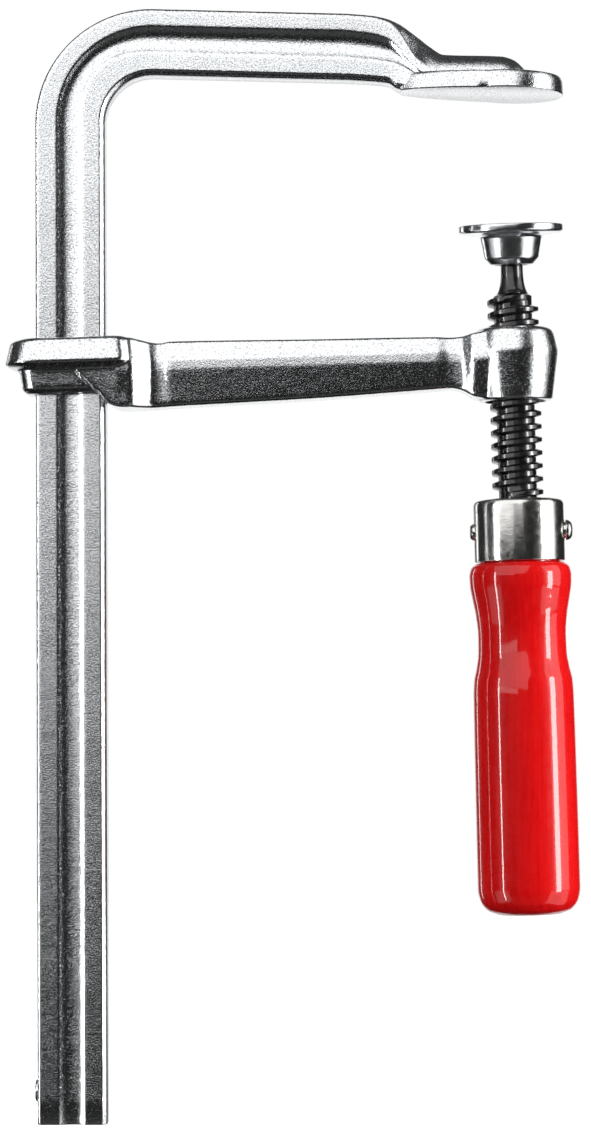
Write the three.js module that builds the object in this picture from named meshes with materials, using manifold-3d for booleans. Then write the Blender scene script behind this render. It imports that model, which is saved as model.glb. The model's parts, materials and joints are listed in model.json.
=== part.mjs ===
// An all-steel F clamp: a forged rail with its fixed jaw, a sliding arm, and a trapezoidal-thread
// spindle with a tilting pressure plate and a turned wooden handle.
//
// Millimetres, +Z up along the rail, +X from the rail to the spindle, -Y the front.
// The origin is the centre of the fixed jaw's round clamping face.

import * as THREE from 'three';
import { mergeVertices } from 'three/addons/utils/BufferGeometryUtils.js';
import Module from 'manifold-3d';

const wasm = await Module();
wasm.setup();

// ---------------------------------------------------------------- driving dimensions

const GAP = 0.3; // between pieces that touch

// rail: a rolled bar with a shallow groove along both broad faces
const THROAT = 124.7; // rail's inner face to the jaw's centre
const RAIL_WIDTH = 21.3;
const RAIL_THICKNESS = 10.5;
const RAIL_CORNER = 1.5;
const INNER_BEVEL = 0.65; // how far the bar's inner corners go from round towards flat
const RAIL_BOTTOM = -313.5;
const GROOVE_WIDTH = 8.2;
const GROOVE_DEPTH = 1.2;
const BEND_GROOVE_WIDTH = 6.4; // the bend draws the groove narrower
const ARM_GROOVE_SHIFT = 0.7; // the fixed arm's groove lies a little above its middle
const BEND_RADIUS = 25; // of the centre line
const BEND_Z = -7.9; // height of the bend's centre
const TOE_IN = THREE.MathUtils.degToRad(1.9); // the fixed arm slopes down towards its jaw
const FIXED_ARM_HEIGHT = 20.4;

// fixed jaw
const JAW_RADIUS = 16;
const JAW_THICKNESS = 5.5;
const JAW_NECK_X = -34; // where the flattened face starts
const JAW_NECK_HALF = 5.2;
const JAW_SHOULDER = [-24, 12.4]; // pulls the neck's sides out towards the disc

// sliding arm, in its own frame: the origin is on the spindle axis at the boss's top face,
// u runs along the arm and w up the spindle axis
const ARM_LEAN = THREE.MathUtils.degToRad(1.15); // the arm hangs askew in its window's clearance
const ARM_ORIGIN = new THREE.Vector3(0.2, 0, -71.9);
const ARM_PARTING = -7; // the forging's parting plane
const LAND_HEIGHT = 3; // upright band under the parting plane, above the lower draft
const BOSS_HEIGHT = 22.3;
const COLLAR_TOP = 0.5;
const COLLAR_OUTER_U = -155.8;
const COLLAR_INNER_U = -117;
const COLLAR_BLOCK_BOTTOM = -16.4;
const WINDOW_CLEARANCE = 0.55; // on each side of the rail
const WINDOW_MIDDLE = -8.5; // the height at which the window is centred on the rail
const COLLAR_OUTER_CORNER = 9.8; // plan radii of the collar's two ends
const COLLAR_INNER_CORNER = 4;
const BLOCK_CORNER = 5.4;
const CHEEK_WIDTH = 21.8;
const COLLAR_DRAFT = Math.tan(THREE.MathUtils.degToRad(5)); // the cheeks narrow downwards

// thread: trapezoidal, right-handed, 16 mm nominal
const PITCH = 4;
const CREST_RADIUS = 7.85;
const CORE_RADIUS = 5.85;
const CREST_WIDTH = 1.35;
const FLANK_SLOPE = Math.tan(THREE.MathUtils.degToRad(15));
const THREAD_PHASE = 1.9; // a crest stands this high above the boss at angle 0
const THREAD_TOP = 9.9;
const THREAD_BOTTOM = -51.9;
const RUN_OUT_TURNS = 0.5; // the last half turn fades into the core
const SEGMENTS = 16; // round the thread
const ROUND = 28; // segments round the larger turned pieces
const RIDGE_OVERLAP = 0.5; // how deep the ridge is rooted in the core
const BORE_CLEARANCE = 0.4; // round the core, in the nut and in the ferrule

// spindle head and pressure plate, as heights up the spindle axis
const PLATE_TOP = 31.8;
const PLATE_RADIUS = 16;
const BALL_Z = 25.8;
const BALL_RADIUS = 4.7;
const NECK_RADIUS = 3.2;
const PLATE_TILT = THREE.MathUtils.degToRad(5); // the loose plate rests with its front edge low
const RING_Z = BALL_Z - 2.5;
const RING_RADIUS = 5.1;
const RING_WIRE = 0.7;

// handle end
const FERRULE_TOP = -52.4;
const FERRULE_BOTTOM = -71.3;
const FERRULE_RADIUS = 13.85;
const FERRULE_WALL = 1.5;
const PIN_Z = -62;
const PIN_RADIUS = 2.55;
const HANDLE_SHOULDER = -71.8;
const HANDLE_BOTTOM = -178.6;
const TANG_RADIUS = 5;
const TANG_BOTTOM = -119;

// end stop, pressed into the rail's outer narrow face
const STUD_Z = -303.4;
const STUD_RADIUS = 3.4;
const STUD_PROUD = 0.9;
const STUD_DEPTH = 7;

const RAIL_X = -(THROAT + RAIL_WIDTH / 2);

// ---------------------------------------------------------------- making and joining solids

const clamp = THREE.MathUtils.clamp;
const lerp = THREE.MathUtils.lerp;

function toManifold(geometry) {
  const bare = geometry.clone();
  bare.deleteAttribute('normal');
  bare.deleteAttribute('uv');
  const merged = mergeVertices(bare, 1e-4);
  const mesh = new wasm.Mesh({
    numProp: 3,
    vertProperties: new Float32Array(merged.attributes.position.array),
    triVerts: new Uint32Array(merged.index.array),
  });
  return new wasm.Manifold(mesh);
}

function toGeometry(manifold) {
  const mesh = manifold.getMesh();
  const geometry = new THREE.BufferGeometry();
  geometry.setAttribute('position', new THREE.BufferAttribute(mesh.vertProperties, 3));
  geometry.setIndex(new THREE.BufferAttribute(mesh.triVerts, 1));
  geometry.computeVertexNormals();
  return geometry;
}

function join(...geometries) {
  return toGeometry(geometries.map(toManifold).reduce((whole, piece) => whole.add(piece)));
}

function cut(geometry, ...tools) {
  const whole = toManifold(geometry);
  return toGeometry(tools.map(toManifold).reduce((rest, tool) => rest.subtract(tool), whole));
}

// A closed skin over rings of points. Every ring is an array of Vector3 with the same length,
// and the rings run counter-clockwise as seen from the last ring looking back at the first.
function loft(rings) {
  const count = rings[0].length;
  const positions = rings.flat().flatMap((p) => [p.x, p.y, p.z]);
  const index = [];
  for (let r = 0; r + 1 < rings.length; r++) {
    for (let i = 0; i < count; i++) {
      const a = r * count + i;
      const b = r * count + ((i + 1) % count);
      index.push(a, b, b + count, a, b + count, a + count);
    }
  }
  for (const [ring, first, flipped] of [
    [rings[0], 0, true],
    [rings[rings.length - 1], (rings.length - 1) * count, false],
  ]) {
    for (const [a, b, c] of capTriangles(ring)) {
      index.push(first + a, first + (flipped ? c : b), first + (flipped ? b : c));
    }
  }
  const geometry = new THREE.BufferGeometry();
  geometry.setAttribute('position', new THREE.Float32BufferAttribute(positions, 3));
  geometry.setIndex(index);
  return geometry;
}

// Triangles over one flat ring, worked out in the ring's own plane.
function capTriangles(ring) {
  const centre = ring.reduce((sum, p) => sum.add(p), new THREE.Vector3()).divideScalar(ring.length);
  const normal = new THREE.Vector3();
  ring.forEach((p, i) => {
    const next = ring[(i + 1) % ring.length];
    normal.add(p.clone().sub(centre).cross(next.clone().sub(centre)));
  });
  normal.normalize();
  const across = ring[0].clone().sub(centre).projectOnPlane(normal).normalize();
  const up = normal.clone().cross(across);
  const flat = ring.map((p) => {
    const d = p.clone().sub(centre);
    return new THREE.Vector2(d.dot(across), d.dot(up));
  });
  return THREE.ShapeUtils.triangulateShape(flat, []);
}

function lathe(profile, segments) {
  const points = profile.map(([r, z]) => new THREE.Vector2(r, z));
  return new THREE.LatheGeometry(points, segments).rotateX(Math.PI / 2);
}

// Points of a quarter round from a to b, bulging towards the corner.
function quarterRound(a, corner, b, steps) {
  const curve = new THREE.QuadraticBezierCurve(
    new THREE.Vector2(...a),
    new THREE.Vector2(...corner),
    new THREE.Vector2(...b),
  );
  return curve.getPoints(steps).map((p) => [p.x, p.y]);
}

function rod(radius, from, to, segments = SEGMENTS) {
  return new THREE.CylinderGeometry(radius, radius, to - from, segments)
    .rotateX(Math.PI / 2)
    .translate(0, 0, (from + to) / 2);
}

// A solid cut from a side outline, centred on Y = 0.
function slab(shape, width) {
  return new THREE.ExtrudeGeometry(shape, { depth: width, bevelEnabled: false, curveSegments: 5 })
    .rotateX(Math.PI / 2)
    .translate(0, width / 2, 0);
}

// The solid with its sides drawn in below the given height, by slope on each side.
function drafted(geometry, from, slope) {
  const position = geometry.attributes.position;
  for (let i = 0; i < position.count; i++) {
    const inset = Math.max(0, from - position.getZ(i)) * slope;
    const y = position.getY(i);
    position.setY(i, y - Math.sign(y) * inset);
  }
  return geometry;
}

// ---------------------------------------------------------------- rail and fixed jaw

// Half of a bar's section, from the middle of its bottom to the middle of its top, as [y, height].
// The top is a rounded corner on the bar, and a pitched roof where the bar is drawn down to a rib.
function barHalfSection({ bottom, top, eave, halfBottom, halfEave, halfRidge, groove, depth, roof }) {
  const corner = RAIL_CORNER;
  const cutBack = (corner * INNER_BEVEL) / 2;
  const points = quarterRound(
    [halfBottom - corner, bottom],
    [halfBottom - cutBack, bottom + cutBack],
    [halfBottom, bottom + corner],
    3,
  );
  const grooveSteps = 6;
  for (let i = 0; i <= grooveSteps; i++) {
    const t = i / grooveSteps;
    const height = lerp(groove[0], groove[1], t);
    const side = lerp(halfBottom, halfEave, (height - bottom) / (eave - bottom));
    points.push([side - depth * 4 * t * (1 - t), height]);
  }
  const square = [halfEave, top];
  const straight = [(halfEave + halfRidge) / 2, (eave + top) / 2];
  const control = [lerp(square[0], straight[0], roof), lerp(square[1], straight[1], roof)];
  return points.concat(quarterRound([halfEave, eave], control, [halfRidge, top], 3));
}

// The whole section placed in space: heights run along the outward direction.
function barRing(centre, outward, section) {
  const half = barHalfSection(section);
  const whole = half.concat(half.map(([y, h]) => [-y, h]).reverse());
  return whole.map(([y, h]) => centre.clone().addScaledVector(outward, h).setY(y));
}

function plainBarSection(height, grooveWidth, grooveShift) {
  const half = height / 2;
  return {
    bottom: -half,
    top: half,
    eave: half - RAIL_CORNER,
    halfBottom: RAIL_THICKNESS / 2,
    halfEave: RAIL_THICKNESS / 2,
    halfRidge: RAIL_THICKNESS / 2 - RAIL_CORNER,
    groove: [grooveShift - grooveWidth / 2, grooveShift + grooveWidth / 2],
    depth: GROOVE_DEPTH,
    roof: 0,
  };
}

function straightRings() {
  const section = plainBarSection(RAIL_WIDTH, GROOVE_WIDTH, 0);
  const outward = new THREE.Vector3(-1, 0, 0);
  return [barRing(new THREE.Vector3(RAIL_X, 0, RAIL_BOTTOM), outward, section)];
}

function bendRings() {
  const steps = 12;
  const sweep = Math.PI / 2 + TOE_IN;
  const rings = [];
  for (let i = 0; i <= steps; i++) {
    const t = i / steps;
    const angle = Math.PI - t * sweep;
    const outward = new THREE.Vector3(Math.cos(angle), 0, Math.sin(angle));
    const centre = new THREE.Vector3(RAIL_X + BEND_RADIUS, 0, BEND_Z);
    centre.addScaledVector(outward, BEND_RADIUS);
    const narrow = Math.sin(Math.PI * t) ** 2;
    const grooveWidth = lerp(GROOVE_WIDTH, BEND_GROOVE_WIDTH, narrow);
    const grooveShift = ARM_GROOVE_SHIFT * t + narrow;
    const height = lerp(RAIL_WIDTH, FIXED_ARM_HEIGHT, t);
    rings.push(barRing(centre, outward, plainBarSection(height, grooveWidth, grooveShift)));
  }
  return rings;
}

// Stations from the arm to the jaw's rib: x, then the heights of the bottom, eaves and ridge, the half
// widths at those three, the groove's edges and depth, and how far the top is a pitched roof.
const HEAD_STATIONS = [
  [-50, [4.7, 23.6, 25.1], [5.25, 5.25, 3.75], [11.3, 19.6], 1.2, 0],
  [-42, [4.1, 22.6, 24.3], [5.25, 5.25, 3.7], [10.4, 18.4], 1.2, 0],
  [-37.5, [3.5, 21.2, 23.3], [5.3, 5.3, 3.4], [9.7, 16.9], 1.1, 0.1],
  [-34, [1.5, 18.2, 21.8], [5.7, 5.5, 3], [8.6, 13.8], 0.9, 0.4],
  [-31, [1.3, 13.6, 19.6], [6.6, 6, 2.8], [7, 10], 0.6, 0.8],
  [-28, [1.3, 9.6, 17.3], [7.4, 6.6, 2.7], [5, 7], 0.2, 1],
  [-24.5, [1.3, 7.4, 14.5], [7.6, 6.8, 2.7], [4, 5.5], 0, 0.8],
  [-20.5, [1.2, 7, 12.2], [7.6, 6.6, 2.9], [4, 5], 0, 0.6],
  [-3, [1.1, 6.4, 11.5], [7.2, 6, 2.8], [3.4, 4.4], 0, 0.6],
  [1, [1, 6, 10.3], [6.6, 5.4, 2.6], [3.2, 4.2], 0, 0.6],
  [5.5, [1, 4.7, 6.2], [4.6, 3.4, 1.8], [2.8, 3.6], 0, 0.6],
];

function headRings() {
  const up = new THREE.Vector3(0, 0, 1);
  return HEAD_STATIONS.map(([x, heights, halves, groove, depth, roof]) => {
    const [bottom, eave, top] = heights;
    const [halfBottom, halfEave, halfRidge] = halves;
    const section = { bottom, eave, top, halfBottom, halfEave, halfRidge, groove, depth, roof };
    return barRing(new THREE.Vector3(x, 0, 0), up, section);
  });
}

// The jaw's flat pad: a tapering neck that runs into a disc, drawn in from the face upwards.
function jawPad() {
  const outline = new THREE.Shape();
  const tangent = THREE.MathUtils.degToRad(118); // where the neck runs into the disc
  const meetX = JAW_RADIUS * Math.cos(tangent);
  const meetY = JAW_RADIUS * Math.sin(tangent);
  const [shoulderX, shoulderY] = JAW_SHOULDER;
  outline.moveTo(JAW_NECK_X, -JAW_NECK_HALF);
  outline.quadraticCurveTo(shoulderX, -shoulderY, meetX, -meetY);
  outline.absarc(0, 0, JAW_RADIUS, -tangent, tangent, false);
  outline.quadraticCurveTo(shoulderX, shoulderY, JAW_NECK_X, JAW_NECK_HALF);
  const points = outline.getPoints(14).slice(0, -1);
  const layers = [
    [0, 1],
    [JAW_THICKNESS * 0.8, 0.975],
    [JAW_THICKNESS, 0.93],
  ];
  const rings = layers.map(([z, scale]) =>
    points.map((p) => new THREE.Vector3(p.x * scale, p.y * scale, z)),
  );
  return loft(rings).rotateY(TOE_IN);
}

function rail() {
  const bar = loft([...straightRings(), ...bendRings(), ...headRings()]);
  const hole = rod(STUD_RADIUS + GAP, 0, STUD_DEPTH + GAP, 16)
    .rotateY(-Math.PI / 2)
    .translate(RAIL_X - RAIL_WIDTH / 2 + STUD_DEPTH + GAP, 0, STUD_Z);
  const mouth = hole.clone().translate(-STUD_DEPTH / 2, 0, 0);
  return cut(join(bar, jawPad()), join(hole, mouth));
}

function endStopStud() {
  const chamfer = 0.6;
  const length = STUD_DEPTH + STUD_PROUD;
  const profile = [
    [0, 0],
    [STUD_RADIUS, 0],
    [STUD_RADIUS, length - chamfer],
    [STUD_RADIUS - chamfer, length],
    [0, length],
  ];
  return lathe(profile, 16)
    .rotateY(-Math.PI / 2)
    .translate(RAIL_X - RAIL_WIDTH / 2 + STUD_DEPTH, 0, STUD_Z);
}

// ---------------------------------------------------------------- thread

// A helix round +Z whose frames keep x pointing outwards and y down the axis.
class Helix extends THREE.Curve {
  constructor(bottom, top, radius, runOut) {
    super();
    Object.assign(this, { bottom, top, radius, runOut });
    this.turns = (top - bottom) / PITCH;
  }

  angleAt(t) {
    const height = lerp(this.bottom, this.top, t);
    return ((height - THREAD_PHASE) / PITCH) * 2 * Math.PI;
  }

  getPoint(t) {
    const fromEnd = Math.min(t, 1 - t) * this.turns;
    const sunk = this.runOut * (1 - clamp(fromEnd / RUN_OUT_TURNS, 0, 1));
    const angle = this.angleAt(t);
    const radius = this.radius - sunk;
    const height = lerp(this.bottom, this.top, t);
    return new THREE.Vector3(radius * Math.cos(angle), radius * Math.sin(angle), height);
  }

  computeFrenetFrames(segments) {
    const frames = { tangents: [], normals: [], binormals: [] };
    for (let i = 0; i <= segments; i++) {
      const angle = this.angleAt(i / segments);
      frames.normals.push(new THREE.Vector3(Math.cos(angle), Math.sin(angle), 0));
      frames.binormals.push(new THREE.Vector3(0, 0, -1));
      frames.tangents.push(new THREE.Vector3(-Math.sin(angle), Math.cos(angle), 0));
    }
    return frames;
  }

  getSpacedPoints(divisions) {
    return this.getPoints(divisions);
  }
}

// The thread's ridge as a solid, from inside the core out to the crest. clearance is how much
// fatter it is than the spindle's own ridge, for cutting the nut.
function threadRidge(bottom, top, clearance, runOut) {
  const root = CORE_RADIUS - RIDGE_OVERLAP;
  const crest = CREST_RADIUS + clearance;
  const halfCrest = CREST_WIDTH / 2 + clearance - clearance * FLANK_SLOPE;
  const halfRoot = halfCrest + (crest - root) * FLANK_SLOPE;
  const depth = crest - root;
  const section = new THREE.Shape([
    new THREE.Vector2(-depth, -halfRoot),
    new THREE.Vector2(0, -halfCrest),
    new THREE.Vector2(0, halfCrest),
    new THREE.Vector2(-depth, halfRoot),
  ]);
  const helix = new Helix(bottom, top, crest, runOut);
  return new THREE.ExtrudeGeometry(section, {
    steps: Math.round(helix.turns * SEGMENTS),
    extrudePath: helix,
  });
}

// ---------------------------------------------------------------- sliding arm

// A rounded rectangle at one height of the collar, from its outer to its inner end.
function collarRing(w, outer, inner, half, outerCorner = COLLAR_OUTER_CORNER) {
  const points = [];
  for (const [u, corner, side, from] of [
    [inner - COLLAR_INNER_CORNER, COLLAR_INNER_CORNER, 1, 0],
    [outer + outerCorner, outerCorner, 1, 1],
    [outer + outerCorner, outerCorner, -1, 2],
    [inner - COLLAR_INNER_CORNER, COLLAR_INNER_CORNER, -1, 3],
  ]) {
    for (let i = 0; i <= 4; i++) {
      const angle = (from + i / 4) * (Math.PI / 2);
      const y = side * (half - corner) + corner * Math.sin(angle);
      points.push(new THREE.Vector3(u + corner * Math.cos(angle), y, w));
    }
  }
  return points;
}

function collarFlange() {
  return loft([
    collarRing(-9.2, COLLAR_OUTER_U + 4.1, COLLAR_INNER_U - 2, 10.4),
    collarRing(-8, COLLAR_OUTER_U + 1.2, COLLAR_INNER_U - 0.6, 11.8),
    collarRing(ARM_PARTING, COLLAR_OUTER_U, COLLAR_INNER_U, 12.8),
    collarRing(-0.6, COLLAR_OUTER_U + 1.5, COLLAR_INNER_U - 0.6, 11.8),
    collarRing(COLLAR_TOP, COLLAR_OUTER_U + 2.9, COLLAR_INNER_U - 1.5, 10.9),
  ]);
}

// The block under the flange.
function collarBlock() {
  const inner = COLLAR_INNER_U - 1.1;
  const [top, bottom] = [ARM_PARTING + 2, COLLAR_BLOCK_BOTTOM];
  return loft([
    collarRing(bottom, COLLAR_OUTER_U + 6.8, inner - 1, 7.6, BLOCK_CORNER),
    collarRing(bottom + 1.5, COLLAR_OUTER_U + 5.2, inner, 9.1, BLOCK_CORNER),
    collarRing(top, COLLAR_OUTER_U + 3.9, inner, 10, BLOCK_CORNER),
  ]);
}

// The cheeks that carry the arm: proud of the block, and deeper than it towards the arm.
function collarCheeks() {
  const outline = new THREE.Shape();
  const inner = COLLAR_INNER_U - 0.8;
  const top = ARM_PARTING + 1.5;
  outline.moveTo(-135.4, top);
  outline.lineTo(-134.4, ARM_PARTING - 2);
  outline.lineTo(-127, -16.8);
  outline.quadraticCurveTo(-124, -21, -120.4, -21.3);
  outline.lineTo(inner, -21.4);
  outline.lineTo(inner, top);
  return drafted(slab(outline, CHEEK_WIDTH), top, COLLAR_DRAFT);
}

// Stations along the arm: top and bottom heights, and half widths at top, parting and bottom.
const ARM_STATIONS = [
  { u: -121, top: 0, bottom: -20.6, half: [10, 11.8, 9.1] },
  { u: -117.6, top: 0, bottom: -21.3, half: [9.8, 11.6, 8.9] },
  { u: -115, top: -0.4, bottom: -21.5, half: [7.2, 8.4, 6.9] },
  { u: -111.5, top: -1.4, bottom: -21.5, half: [5.2, 6, 5.4] },
  { u: -107.6, top: -1.6, bottom: -21.4, half: [5, 5.8, 5.2] },
  { u: -105, top: -1.2, bottom: -21.3, half: [5.7, 6.8, 5.8] },
  { u: -60, top: -1.8, bottom: -20, half: [5.7, 6.8, 5.8] },
  { u: -24, top: -2.2, bottom: -18.3, half: [5.7, 6.8, 5.8] },
  { u: -19.5, top: -2.5, bottom: -18.1, half: [5.3, 6.2, 5.5] },
  { u: -16.5, top: -2.4, bottom: -18.8, half: [5.6, 6.5, 5.8] },
  { u: -12.5, top: -1.6, bottom: -21, half: [8.2, 9.4, 7.6] },
  { u: -8, top: -1, bottom: -21.9, half: [9, 10.6, 8] },
];

function armRing({ u, top, bottom, half }) {
  const corner = 1.2;
  const side = [
    ...quarterRound([half[2] - corner, bottom], [half[2], bottom], [half[2], bottom + corner], 2),
    [half[1], ARM_PARTING - LAND_HEIGHT],
    [half[1], ARM_PARTING],
    ...quarterRound([half[0], top - corner], [half[0], top], [half[0] - corner, top], 2),
  ];
  const whole = side.concat(side.map(([y, w]) => [-y, w]).reverse());
  return whole.map(([y, w]) => new THREE.Vector3(u, y, w));
}

function boss() {
  const profile = [
    [0, -BOSS_HEIGHT],
    [11, -BOSS_HEIGHT],
    [11.4, -BOSS_HEIGHT + 0.6],
    [13.4, ARM_PARTING - 0.6],
    [13.4, ARM_PARTING],
    [12.4, -2.2],
    [11.9, -0.9],
    [10.9, 0],
    [0, 0],
  ];
  return lathe(profile, ROUND);
}

// Where the rail's centre line crosses the given height of the arm's frame.
function railAxisU(w) {
  return (RAIL_X - ARM_ORIGIN.x) / Math.cos(ARM_LEAN) + w * Math.tan(ARM_LEAN);
}

function railWindow() {
  const width = RAIL_WIDTH + 2 * WINDOW_CLEARANCE;
  const thickness = RAIL_THICKNESS + 2 * WINDOW_CLEARANCE;
  const through = 60;
  return new THREE.BoxGeometry(width, thickness, through)
    .translate(railAxisU(WINDOW_MIDDLE), 0, WINDOW_MIDDLE);
}

function threadedBore() {
  const beyond = 3;
  const ridge = threadRidge(-BOSS_HEIGHT - beyond, beyond, GAP, 0);
  const bore = rod(CORE_RADIUS + BORE_CLEARANCE, -BOSS_HEIGHT - beyond, beyond);
  const relief = CREST_RADIUS + GAP + 0.4; // clears the thread, so that it starts on a clean step
  const countersinkTop = lathe([[0, -1.2], [relief, -1.2], [relief + 1.2, 0.2], [0, 0.2]], SEGMENTS);
  const countersinkBottom = countersinkTop.clone().rotateX(Math.PI).translate(0, 0, -BOSS_HEIGHT);
  return join(bore, ridge, countersinkTop, countersinkBottom);
}

function slidingArm() {
  const beam = loft(ARM_STATIONS.map(armRing));
  const forging = join(collarFlange(), collarBlock(), collarCheeks(), beam, boss());
  return cut(forging, railWindow(), threadedBore());
}

// ---------------------------------------------------------------- spindle and pressure plate

function ballAndNeckProfile() {
  const points = [];
  const neckAngle = Math.asin(NECK_RADIUS / BALL_RADIUS) - Math.PI / 2;
  const steps = 8;
  for (let i = 0; i <= steps; i++) {
    const angle = lerp(neckAngle, Math.PI / 2, i / steps);
    const radius = i === steps ? 0 : BALL_RADIUS * Math.cos(angle);
    points.push([radius, BALL_Z + BALL_RADIUS * Math.sin(angle)]);
  }
  return points;
}

function spindle() {
  const flareBottom = THREAD_TOP + 0.6;
  const flare = quarterRound([CORE_RADIUS - 0.4, flareBottom], [3.15, 11.2], [3.4, 19.4], 4);
  const profile = [
    [0, TANG_BOTTOM],
    [TANG_RADIUS - 0.8, TANG_BOTTOM],
    [TANG_RADIUS, TANG_BOTTOM + 1],
    [TANG_RADIUS, FERRULE_BOTTOM - 1],
    [CORE_RADIUS, FERRULE_BOTTOM],
    [CORE_RADIUS, THREAD_TOP - 1.2],
    ...flare,
    ...ballAndNeckProfile(),
  ];
  const ridge = threadRidge(THREAD_BOTTOM, THREAD_TOP, 0, CREST_RADIUS - CORE_RADIUS + RIDGE_OVERLAP);
  return cut(join(lathe(profile, SEGMENTS), ridge), pinPassage());
}

// A turned plate with a cup under it: the ball sits in a round seat, and the retaining ring
// lies in the wider chamber under it, above the cup's lip. Heights are from the ball's centre.
function pressurePlate() {
  const top = PLATE_TOP - BALL_Z;
  const rimBottom = top - 2.6;
  const cupBottom = -6.2;
  const seat = BALL_RADIUS + GAP;
  const chamber = 6.6;
  const lip = 5.4;
  const lipTop = -4.75;
  const profile = [[0, seat]];
  for (let i = 1; i <= 5; i++) {
    const angle = (i / 5) * (Math.PI / 2);
    profile.push([seat * Math.sin(angle), seat * Math.cos(angle)]);
  }
  profile.push([chamber, 0], [chamber, lipTop], [lip, lipTop], [lip, cupBottom]);
  profile.push([6.5, cupBottom], [8.3, -4.1], [9.4, rimBottom - 1.3], [10.2, rimBottom - 0.6]);
  profile.push([PLATE_RADIUS - 0.6, rimBottom], [PLATE_RADIUS, rimBottom + 0.6], [PLATE_RADIUS, top - 0.4]);
  profile.push([PLATE_RADIUS - 0.4, top], [0, top]);
  return lathe(profile, ROUND);
}

// A snap ring of round wire, open at the back.
function retainingRing() {
  const opening = THREE.MathUtils.degToRad(24);
  const from = Math.PI / 2 + opening;
  const to = (5 * Math.PI) / 2 - opening;
  class RingArc extends THREE.Curve {
    getPoint(t) {
      const angle = lerp(from, to, t);
      return new THREE.Vector3(RING_RADIUS * Math.cos(angle), RING_RADIUS * Math.sin(angle), RING_Z);
    }
  }
  const wire = new THREE.Shape().absarc(0, 0, RING_WIRE, 0, 2 * Math.PI, false);
  return new THREE.ExtrudeGeometry(wire, { steps: 24, curveSegments: 4, extrudePath: new RingArc() });
}

// ---------------------------------------------------------------- handle end

// The cross pin's passage through anything it joins.
function pinPassage() {
  return rod(PIN_RADIUS + GAP, -20, 20, 12).rotateY(Math.PI / 2).translate(0, 0, PIN_Z);
}

function ferrule() {
  const inner = FERRULE_RADIUS - FERRULE_WALL;
  const hole = CORE_RADIUS + BORE_CLEARANCE;
  const corner = 2;
  const shell = [
    [hole, FERRULE_TOP - FERRULE_WALL],
    [inner, FERRULE_TOP - FERRULE_WALL],
    [inner, FERRULE_BOTTOM],
    [FERRULE_RADIUS, FERRULE_BOTTOM],
    ...quarterRound(
      [FERRULE_RADIUS, FERRULE_TOP - corner],
      [FERRULE_RADIUS, FERRULE_TOP],
      [FERRULE_RADIUS - corner, FERRULE_TOP],
      3,
    ),
    [hole, FERRULE_TOP],
    [hole, FERRULE_TOP - FERRULE_WALL],
  ];
  return cut(lathe(shell, ROUND), pinPassage());
}

// Radii down the visible handle, from its shoulder over the waist to the butt.
const HANDLE_OUTLINE = [
  [13.7, HANDLE_SHOULDER],
  [15, -73],
  [15.6, -75.6],
  [15.5, -78.5],
  [14.9, -82.2],
  [13.9, -88],
  [13.45, -93.5],
  [13.55, -99],
  [14.2, -103.5],
  [15.05, -107.5],
  [15.3, -112],
  [15.5, -135],
  [15.6, -170.5],
  [14.9, -174.3],
  [12.9, -177.2],
  [9.5, HANDLE_BOTTOM],
];

function handle() {
  const tenon = FERRULE_RADIUS - FERRULE_WALL - GAP;
  const tenonTop = FERRULE_TOP - FERRULE_WALL - GAP;
  const bore = CORE_RADIUS + GAP;
  const tangBore = TANG_RADIUS + GAP;
  const profile = [
    [0, HANDLE_BOTTOM],
    ...HANDLE_OUTLINE.slice().reverse(),
    [tenon, HANDLE_SHOULDER],
    [tenon, tenonTop],
    [bore, tenonTop],
    [bore, FERRULE_BOTTOM - 1.4],
    [tangBore, FERRULE_BOTTOM - 2],
    [tangBore, TANG_BOTTOM - GAP],
    [0, TANG_BOTTOM - GAP],
  ];
  return cut(lathe(profile, ROUND), pinPassage());
}

// A riveted pin across the ferrule: a domed head on one side, a flatter peened one on the other.
function crossPin() {
  const seat = FERRULE_RADIUS + GAP;
  const profile = [
    [0, -seat - 1],
    [1.9, -seat - 0.8],
    [2.6, -seat],
    [PIN_RADIUS, -seat],
    [PIN_RADIUS, seat],
    [3.25, seat],
    [3.1, seat + 1],
    [2.2, seat + 1.9],
    [0, seat + 2.3],
  ];
  return lathe(profile, 12).rotateY(Math.PI / 2).translate(0, 0, PIN_Z);
}

// ---------------------------------------------------------------- the assembly

const FINISHES = {
  zinc: { color: 0xc3c7cb, roughness: 0.35, metalness: 1 },
  polished_zinc: { color: 0xc8ccd0, roughness: 0.22, metalness: 1 },
  black_steel: { color: 0x1b1b1d, roughness: 0.38, metalness: 0.9 },
  spring_steel: { color: 0x6d7074, roughness: 0.35, metalness: 1 },
  nickel: { color: 0xaaa9a6, roughness: 0.28, metalness: 1 },
  red_lacquer: { color: 0xc8160f, roughness: 0.18, metalness: 0 },
};

function piece(name, geometry, finish) {
  const mesh = new THREE.Mesh(geometry, new THREE.MeshStandardMaterial(FINISHES[finish]));
  mesh.name = name;
  return mesh;
}

const clampAssembly = new THREE.Group();
clampAssembly.add(piece('rail', rail(), 'zinc'));
clampAssembly.add(piece('end_stop_stud', endStopStud(), 'zinc'));

const armAssembly = new THREE.Group();
armAssembly.position.copy(ARM_ORIGIN);
armAssembly.rotation.y = -ARM_LEAN;
armAssembly.add(piece('sliding_arm', slidingArm(), 'zinc'));
armAssembly.add(piece('spindle', spindle(), 'black_steel'));
armAssembly.add(piece('retaining_ring', retainingRing(), 'spring_steel'));
armAssembly.add(piece('ferrule', ferrule(), 'nickel'));
armAssembly.add(piece('cross_pin', crossPin(), 'nickel'));
armAssembly.add(piece('handle', handle(), 'red_lacquer'));

const plateMesh = piece('pressure_plate', pressurePlate(), 'polished_zinc');
plateMesh.position.z = BALL_Z;
plateMesh.rotation.x = PLATE_TILT;
armAssembly.add(plateMesh);

clampAssembly.add(armAssembly);

export default clampAssembly;
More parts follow.
